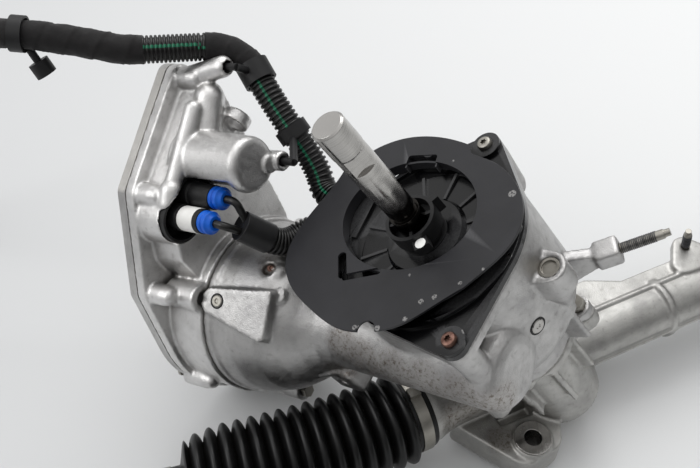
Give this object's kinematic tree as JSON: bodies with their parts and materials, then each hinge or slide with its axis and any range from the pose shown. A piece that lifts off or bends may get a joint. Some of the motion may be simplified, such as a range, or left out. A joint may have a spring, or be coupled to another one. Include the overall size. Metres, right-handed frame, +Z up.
{
  "type": "electric steering rack",
  "caption": "Electric power steering rack with pinion-side assist motor, control unit, sensor cover, bellows boots, tie rods and wiring loom.",
  "frame": {"origin": "axis of the left mounting bore, at the bottom face of its lug", "axes": "+X along the rack toward its long end, +Y to the back, +Z up along the mounting bolts"},
  "size_m": [1.2646, 0.5524, 0.304],
  "materials": {
    "cast_aluminium": "sand-blasted die casting",
    "rack_casting": "die casting",
    "machined_steel": "turned and ground",
    "ground_steel": "ground",
    "plated_steel": "zinc plated",
    "tie_rod_steel": "phosphated",
    "black_plastic": "moulded",
    "shield_black": "black coated, scuffed",
    "cover_black": "black coated",
    "boot_rubber": "moulded",
    "conduit_black": "corrugated",
    "loom_tape": "wrapped cloth tape",
    "seal_blue": "moulded",
    "seal_rubber": "moulded",
    "gear_plastic": "machined",
    "bronze": "sintered",
    "board_green": "laminate",
    "magnet_grey": "sintered",
    "copper_stack": "laminated, wound",
    "seat_plastic": "moulded"
  },
  "bodies": {
    "housing": {"rack_housing": "rack_casting", "gear_housing": "cast_aluminium", "ecu_housing": "cast_aluminium", "ecu_cover": "cast_aluminium", "sensor_cover": "cover_black", "dust_shield": "shield_black", "cover_screws": "plated_steel", "case_screws": "plated_steel", "harness_studs": "plated_steel", "blanking_plugs": "plated_steel", "mount_sleeves": "machined_steel", "input_seal": "seal_rubber", "pinion_bearings": "ground_steel", "worm_bearings": "ground_steel", "rotor_bearings": "ground_steel", "pinion_cap": "plated_steel", "rack_bush": "seat_plastic", "rack_yoke": "bronze", "yoke_spring": "plated_steel", "yoke_plug": "plated_steel", "motor_stator": "copper_stack", "circuit_board": "board_green", "torque_sensor_board": "board_green", "capacitors": "black_plastic", "connector_socket": "black_plastic", "ecu_plugs": "black_plastic", "plug_seals": "seal_blue", "plug_leads": "conduit_black", "lead_sleeve": "black_plastic", "held_conduit": "conduit_black", "branch_conduit": "conduit_black", "sensor_plug": "black_plastic", "harness_clips": "black_plastic", "free_conduit": "conduit_black", "loom": "loom_tape", "loom_connector": "black_plastic", "boot_left": "boot_rubber", "boot_right": "boot_rubber", "boot_bands": "plated_steel"},
    "rack": {"rack_bar": "ground_steel", "joint_sockets": "machined_steel"},
    "seat_left": {"ball_seat_left": "seat_plastic"},
    "seat_right": {"ball_seat_right": "seat_plastic"},
    "rod_left": {"tie_rod_left": "tie_rod_steel", "lock_nut_left": "plated_steel", "boot_clip_left": "plated_steel"},
    "rod_right": {"tie_rod_right": "tie_rod_steel", "lock_nut_right": "plated_steel", "boot_clip_right": "plated_steel"},
    "pinion": {"pinion_shaft": "machined_steel", "worm_wheel_hub": "machined_steel", "worm_wheel_ring": "gear_plastic", "torsion_bar": "ground_steel"},
    "steering_input": {"input_shaft": "machined_steel", "alignment_ring": "black_plastic", "sensor_magnet": "magnet_grey"},
    "rotor": {"worm_shaft": "ground_steel", "drive_coupling": "black_plastic", "motor_rotor": "magnet_grey"}
  },
  "joints": [
    {"name": "motor_spin", "type": "hinge", "parent": "housing", "child": "rotor", "pos_m": [-0.06635, 0.03041, 0.1449], "axis": [0.4326, -0.7946, 0.4259], "range_deg": [-15425, 5145]},
    {"name": "rack_slide", "type": "slide", "parent": "housing", "child": "rack", "axis": [1, 0, 0], "range_m": [-0.105, 0.035], "deforming": ["boot_left", "boot_right"]},
    {"name": "pinion_turn", "type": "hinge", "parent": "housing", "child": "pinion", "pos_m": [0.032, 0.03142, 0.04691], "axis": [-0.4836, 0.1942, 0.8535], "range_deg": [-251, 753]},
    {"name": "input_twist", "type": "hinge", "parent": "pinion", "child": "steering_input", "pos_m": [0.032, 0.03142, 0.04691], "axis": [-0.4836, 0.1942, 0.8535], "range_deg": [-4.5, 4.5], "stiffness_Nm_per_rad": 143},
    {"name": "rod_left_swing", "type": "hinge", "parent": "rack", "child": "seat_left", "pos_m": [-0.132, 0.048, 0.04314], "axis": [0, 0, 1], "range_deg": [-8.4, 31.6], "deforming": ["boot_left"]},
    {"name": "rod_left_lift", "type": "hinge", "parent": "seat_left", "child": "rod_left", "pos_m": [-0.132, 0.048, 0.04314], "axis": [-0.2011, -0.9796, 0], "range_deg": [-12, 12], "deforming": ["boot_left"]},
    {"name": "rod_right_swing", "type": "hinge", "parent": "rack", "child": "seat_right", "pos_m": [0.558, 0.048, 0.04314], "axis": [0, 0, 1], "range_deg": [-25, 15], "deforming": ["boot_right"]},
    {"name": "rod_right_lift", "type": "hinge", "parent": "seat_right", "child": "rod_right", "pos_m": [0.558, 0.048, 0.04314], "axis": [-0.0872, 0.9962, 0], "range_deg": [-12, 12], "deforming": ["boot_right"]}
  ],
  "couplings": [
    {"joint": "motor_spin", "follows": "rack_slide", "rad_per_m": 2563.4},
    {"joint": "pinion_turn", "follows": "rack_slide", "rad_per_m": -125.04}
  ]
}
